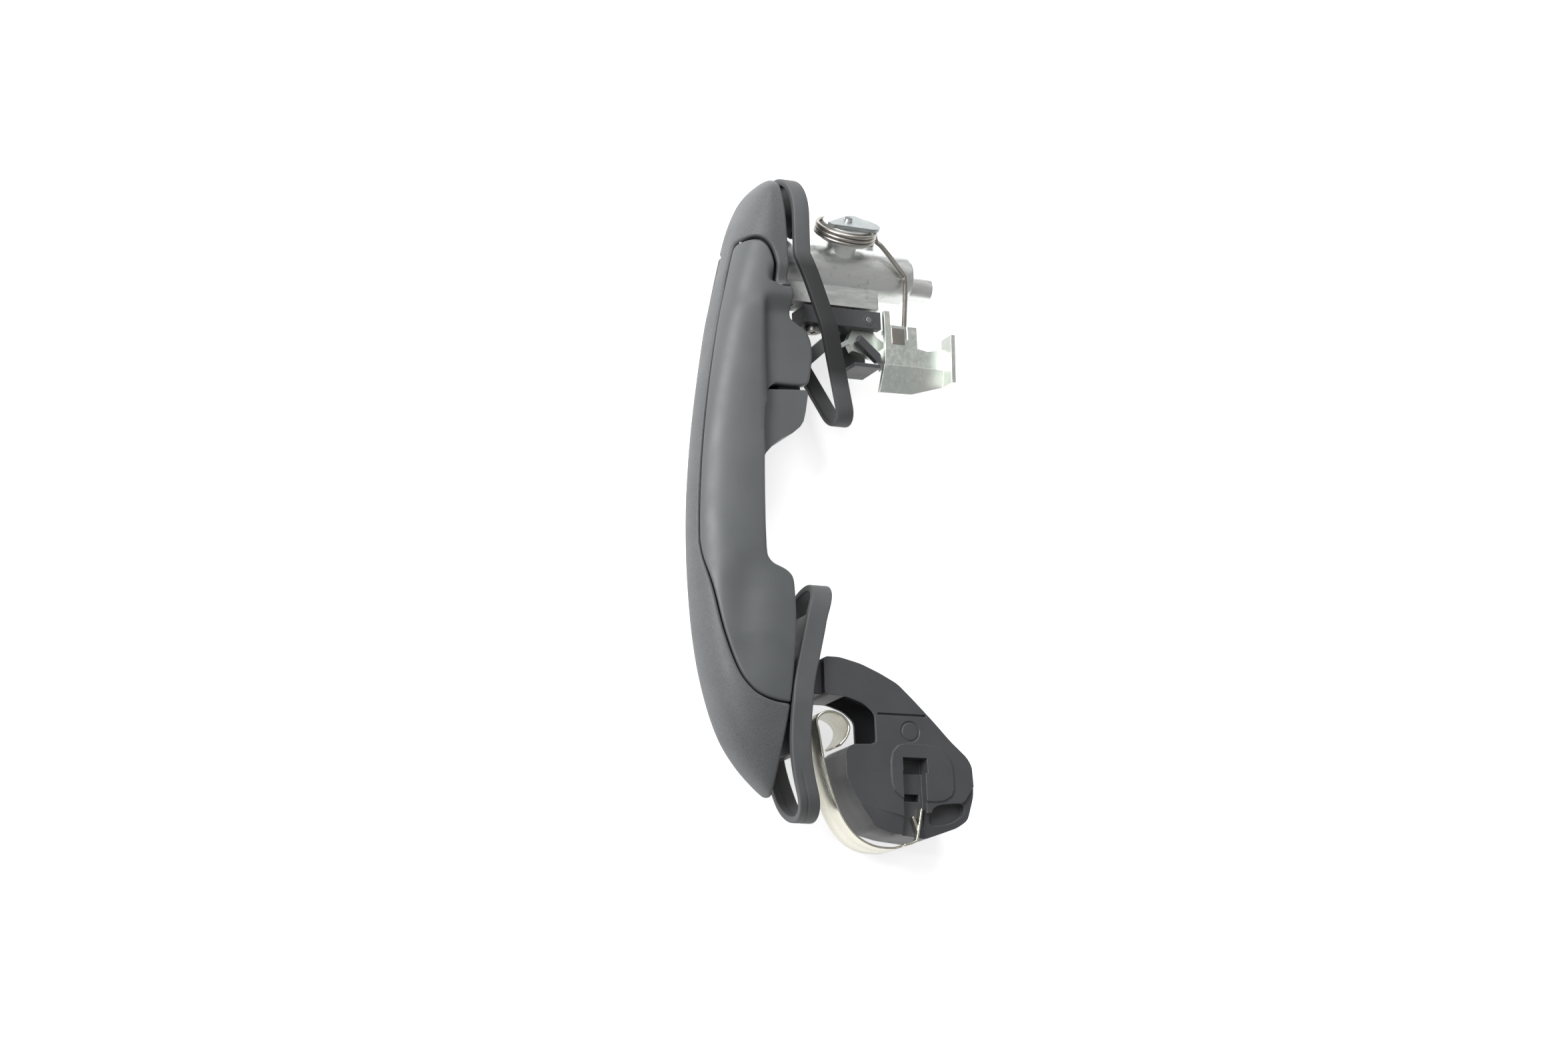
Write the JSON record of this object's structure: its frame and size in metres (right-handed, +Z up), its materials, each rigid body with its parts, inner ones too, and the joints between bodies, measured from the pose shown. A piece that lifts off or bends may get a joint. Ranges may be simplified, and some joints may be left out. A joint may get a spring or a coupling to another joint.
{
  "type": "car door handle",
  "caption": "Exterior car door handle with a fixed grip, squeeze trigger, key lock, seals, return-spring bellcrank and a hooked end with a leaf spring.",
  "frame": {"origin": "where the lock cylinder's axis crosses the outer surface of the door skin", "axes": "+X along the car from the lock end to the hook end, +Y into the door along the lock axis, +Z up"},
  "size_m": [0.2233, 0.0949, 0.0344],
  "materials": {
    "grained_plastic": "fine grain, primer grey-black",
    "smooth_plastic": "smooth satin moulding",
    "black_plastic": "glass-filled moulding, satin",
    "seal_rubber": "matt foam rubber",
    "zinc_casting": "zinc die casting, clear passivated",
    "zinc_plate": "zinc-plated sheet",
    "bright_steel": "polished stainless",
    "plug_metal": "nickel-plated zinc",
    "fastener_steel": "zinc-plated",
    "spring_wire": "drawn wire",
    "spring_strip": "rolled spring strip",
    "wafer_brass": "stamped"
  },
  "bodies": {
    "mount": {"outer_cover": "grained_plastic", "grip_body": "smooth_plastic", "cover_screws": "fastener_steel", "lock_bezel": "bright_steel", "lock_housing": "zinc_casting", "housing_screws": "fastener_steel", "rear_seal": "seal_rubber", "front_seal": "seal_rubber", "pivot_bracket": "black_plastic", "bracket_screws": "fastener_steel", "crank_pin": "fastener_steel", "pin_clips": "fastener_steel", "spring_post": "zinc_casting", "torsion_spring": "spring_wire", "spring_plate": "zinc_plate", "trigger_pin": "fastener_steel", "pivot_bushes": "wafer_brass", "hook_block": "black_plastic", "hook_screws": "fastener_steel", "leaf_spring": "spring_strip"},
    "trigger": {"trigger": "smooth_plastic", "trigger_pad": "seal_rubber"},
    "bellcrank": {"bellcrank": "zinc_plate", "push_pad": "black_plastic"},
    "plug": {"lock_plug": "plug_metal", "wafers": "wafer_brass", "shutter_pin": "fastener_steel", "tailpiece": "zinc_casting", "tail_screws": "fastener_steel"},
    "shutter": {"dust_shutter": "bright_steel"}
  },
  "joints": [
    {"name": "trigger_hinge", "type": "hinge", "parent": "mount", "child": "trigger", "pos_m": [0.04, -0.005, 0], "axis": [0, 0, -1], "range_deg": [0, 10]},
    {"name": "crank_hinge", "type": "hinge", "parent": "mount", "child": "bellcrank", "pos_m": [0.0174, 0.0254, 0], "axis": [0, 0, 1], "range_deg": [0, 14.2], "stiffness_Nm_per_rad": 0.12, "springref_deg": -34.38, "deforming": ["torsion_spring"]},
    {"name": "lock_turn", "type": "hinge", "parent": "mount", "child": "plug", "pos_m": [0, 0, 0], "axis": [0, 1, 0], "range_deg": [-75, 75]},
    {"name": "shutter_hinge", "type": "hinge", "parent": "plug", "child": "shutter", "pos_m": [0, -0.0162, -0.0032], "axis": [-1, 0, 0], "range_deg": [0, 75], "stiffness_Nm_per_rad": 0.0004, "springref_deg": -28.65}
  ],
  "couplings": [
    {"joint": "crank_hinge", "follows": "trigger_hinge", "ratio": 1.4}
  ]
}
